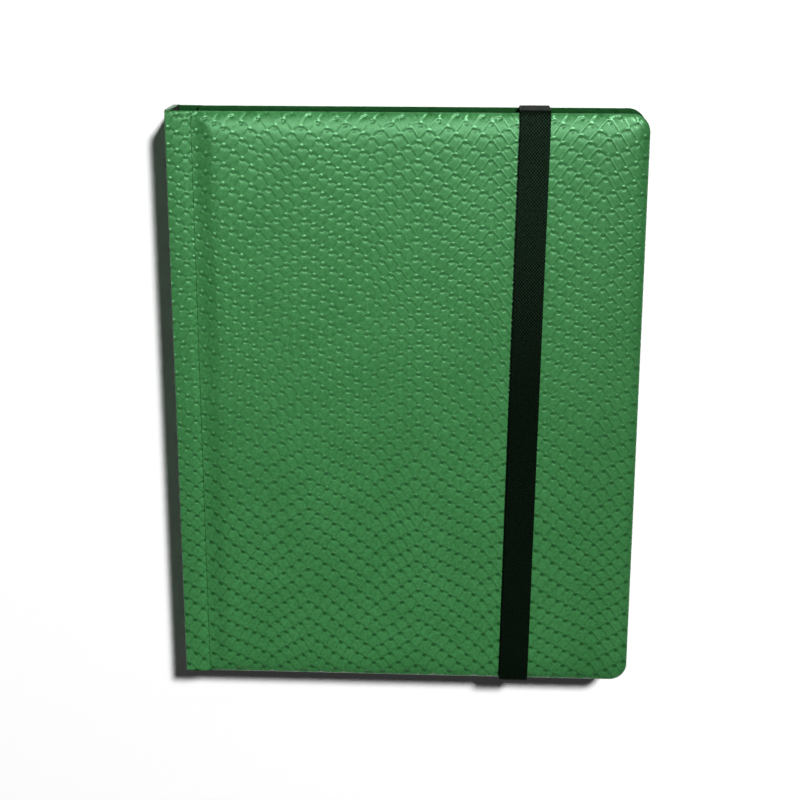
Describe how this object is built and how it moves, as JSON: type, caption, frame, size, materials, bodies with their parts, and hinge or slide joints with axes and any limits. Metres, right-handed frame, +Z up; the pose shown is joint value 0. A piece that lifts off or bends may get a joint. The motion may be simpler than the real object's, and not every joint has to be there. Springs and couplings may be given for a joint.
{
  "type": "stamp album",
  "caption": "Padded leatherette stamp album with black stock leaves, clear strips, interleaves and an elastic closing strap over the front cover.",
  "frame": {"origin": "centre of the closed album's footprint, on the surface that it lies on", "axes": "+Z up through the front cover, +X from the spine to the fore-edge, +Y from the tail to the head"},
  "size_m": [0.235, 0.301, 0.0312],
  "materials": {
    "green_leatherette": "scale-embossed, satin",
    "foam": "open-cell foam",
    "grey_board": "pressed grey board",
    "black_lining": "fine cloth",
    "linen": "woven linen",
    "band_cloth": "woven band",
    "black_card": "matt card",
    "clear_film": "clear film",
    "glassine": "translucent paper",
    "black_elastic": "woven elastic"
  },
  "bodies": {
    "back_cover": {"back_skin": "green_leatherette", "back_foam": "foam", "back_board": "grey_board", "back_lining": "black_lining", "strap_head_wrap": "black_elastic", "strap_tail_wrap": "black_elastic"},
    "spine": {"spine_skin": "green_leatherette", "spine_board": "grey_board", "spine_lining": "black_lining", "back_joint_fold": "green_leatherette", "front_joint_fold": "green_leatherette", "binding_cloth": "linen", "head_band": "band_cloth", "tail_band": "band_cloth", "leaf_stubs": "black_card"},
    "front_cover": {"front_skin": "green_leatherette", "front_foam": "foam", "front_board": "grey_board", "front_lining": "black_lining"},
    "strap_ends": {"strap_head_run": "black_elastic", "strap_tail_run": "black_elastic"},
    "strap_middle": {"strap_middle_run": "black_elastic"},
    "leaf_1": {"leaf_1_hinge": "linen", "leaf_1_card": "black_card", "leaf_1_strips": "clear_film", "leaf_1_glassine": "glassine"},
    "leaf_2": {"leaf_2_hinge": "linen", "leaf_2_card": "black_card", "leaf_2_strips": "clear_film", "leaf_2_glassine": "glassine"},
    "leaf_3": {"leaf_3_hinge": "linen", "leaf_3_card": "black_card", "leaf_3_strips": "clear_film", "leaf_3_glassine": "glassine"},
    "leaf_4": {"leaf_4_hinge": "linen", "leaf_4_card": "black_card", "leaf_4_strips": "clear_film", "leaf_4_glassine": "glassine"},
    "leaf_5": {"leaf_5_hinge": "linen", "leaf_5_card": "black_card", "leaf_5_strips": "clear_film", "leaf_5_glassine": "glassine"},
    "leaf_6": {"leaf_6_hinge": "linen", "leaf_6_card": "black_card", "leaf_6_strips": "clear_film", "leaf_6_glassine": "glassine"},
    "leaf_7": {"leaf_7_hinge": "linen", "leaf_7_card": "black_card", "leaf_7_strips": "clear_film", "leaf_7_glassine": "glassine"},
    "leaf_8": {"leaf_8_hinge": "linen", "leaf_8_card": "black_card", "leaf_8_strips": "clear_film", "leaf_8_glassine": "glassine"}
  },
  "joints": [
    {"name": "spine_fold", "type": "hinge", "parent": "back_cover", "child": "spine", "pos_m": [-0.1167, 0, 0.0028], "axis": [0, -1, 0], "range_deg": [0, 90], "deforming": ["strap_head_wrap", "strap_tail_wrap", "strap_head_run", "strap_tail_run", "strap_middle_run"]},
    {"name": "front_cover_fold", "type": "hinge", "parent": "spine", "child": "front_cover", "pos_m": [-0.1167, 0, 0.0272], "axis": [0, -1, 0], "range_deg": [0, 90]},
    {"name": "leaf_1_turn", "type": "hinge", "parent": "spine", "child": "leaf_1", "pos_m": [-0.1072, 0, 0.0073], "axis": [0, -1, 0], "range_deg": [-78.1, 0]},
    {"name": "leaf_2_turn", "type": "hinge", "parent": "spine", "child": "leaf_2", "pos_m": [-0.1072, 0, 0.0095], "axis": [0, -1, 0], "range_deg": [-67.1, 0]},
    {"name": "leaf_3_turn", "type": "hinge", "parent": "spine", "child": "leaf_3", "pos_m": [-0.1072, 0, 0.0117], "axis": [0, -1, 0], "range_deg": [-56.1, 0]},
    {"name": "leaf_4_turn", "type": "hinge", "parent": "spine", "child": "leaf_4", "pos_m": [-0.1072, 0, 0.0139], "axis": [0, -1, 0], "range_deg": [-45.1, 0]},
    {"name": "leaf_5_turn", "type": "hinge", "parent": "spine", "child": "leaf_5", "pos_m": [-0.1072, 0, 0.0161], "axis": [0, -1, 0], "range_deg": [0, 45.1]},
    {"name": "leaf_6_turn", "type": "hinge", "parent": "spine", "child": "leaf_6", "pos_m": [-0.1072, 0, 0.0183], "axis": [0, -1, 0], "range_deg": [0, 56.1]},
    {"name": "leaf_7_turn", "type": "hinge", "parent": "spine", "child": "leaf_7", "pos_m": [-0.1072, 0, 0.0205], "axis": [0, -1, 0], "range_deg": [0, 67.1]},
    {"name": "leaf_8_turn", "type": "hinge", "parent": "spine", "child": "leaf_8", "pos_m": [-0.1072, 0, 0.0227], "axis": [0, -1, 0], "range_deg": [0, 78.1]},
    {"name": "strap_drop", "type": "slide", "parent": "back_cover", "child": "strap_ends", "axis": [0, 0, -1], "range_m": [0, 0.0206]},
    {"name": "strap_pull", "type": "slide", "parent": "strap_ends", "child": "strap_middle", "axis": [0, 0, 1], "range_m": [0, 0.025], "stiffness_N_per_m": 60}
  ],
  "couplings": [
    {"joint": "front_cover_fold", "follows": "spine_fold", "ratio": 1},
    {"joint": "leaf_1_turn", "follows": "spine_fold", "ratio": -0.8667},
    {"joint": "leaf_2_turn", "follows": "spine_fold", "ratio": -0.7444},
    {"joint": "leaf_3_turn", "follows": "spine_fold", "ratio": -0.6222},
    {"joint": "leaf_4_turn", "follows": "spine_fold", "ratio": -0.5},
    {"joint": "leaf_5_turn", "follows": "spine_fold", "ratio": 0.5},
    {"joint": "leaf_6_turn", "follows": "spine_fold", "ratio": 0.6222},
    {"joint": "leaf_7_turn", "follows": "spine_fold", "ratio": 0.7444},
    {"joint": "leaf_8_turn", "follows": "spine_fold", "ratio": 0.8667},
    {"joint": "strap_drop", "follows": "spine_fold", "m_per_rad": 0.013051}
  ]
}
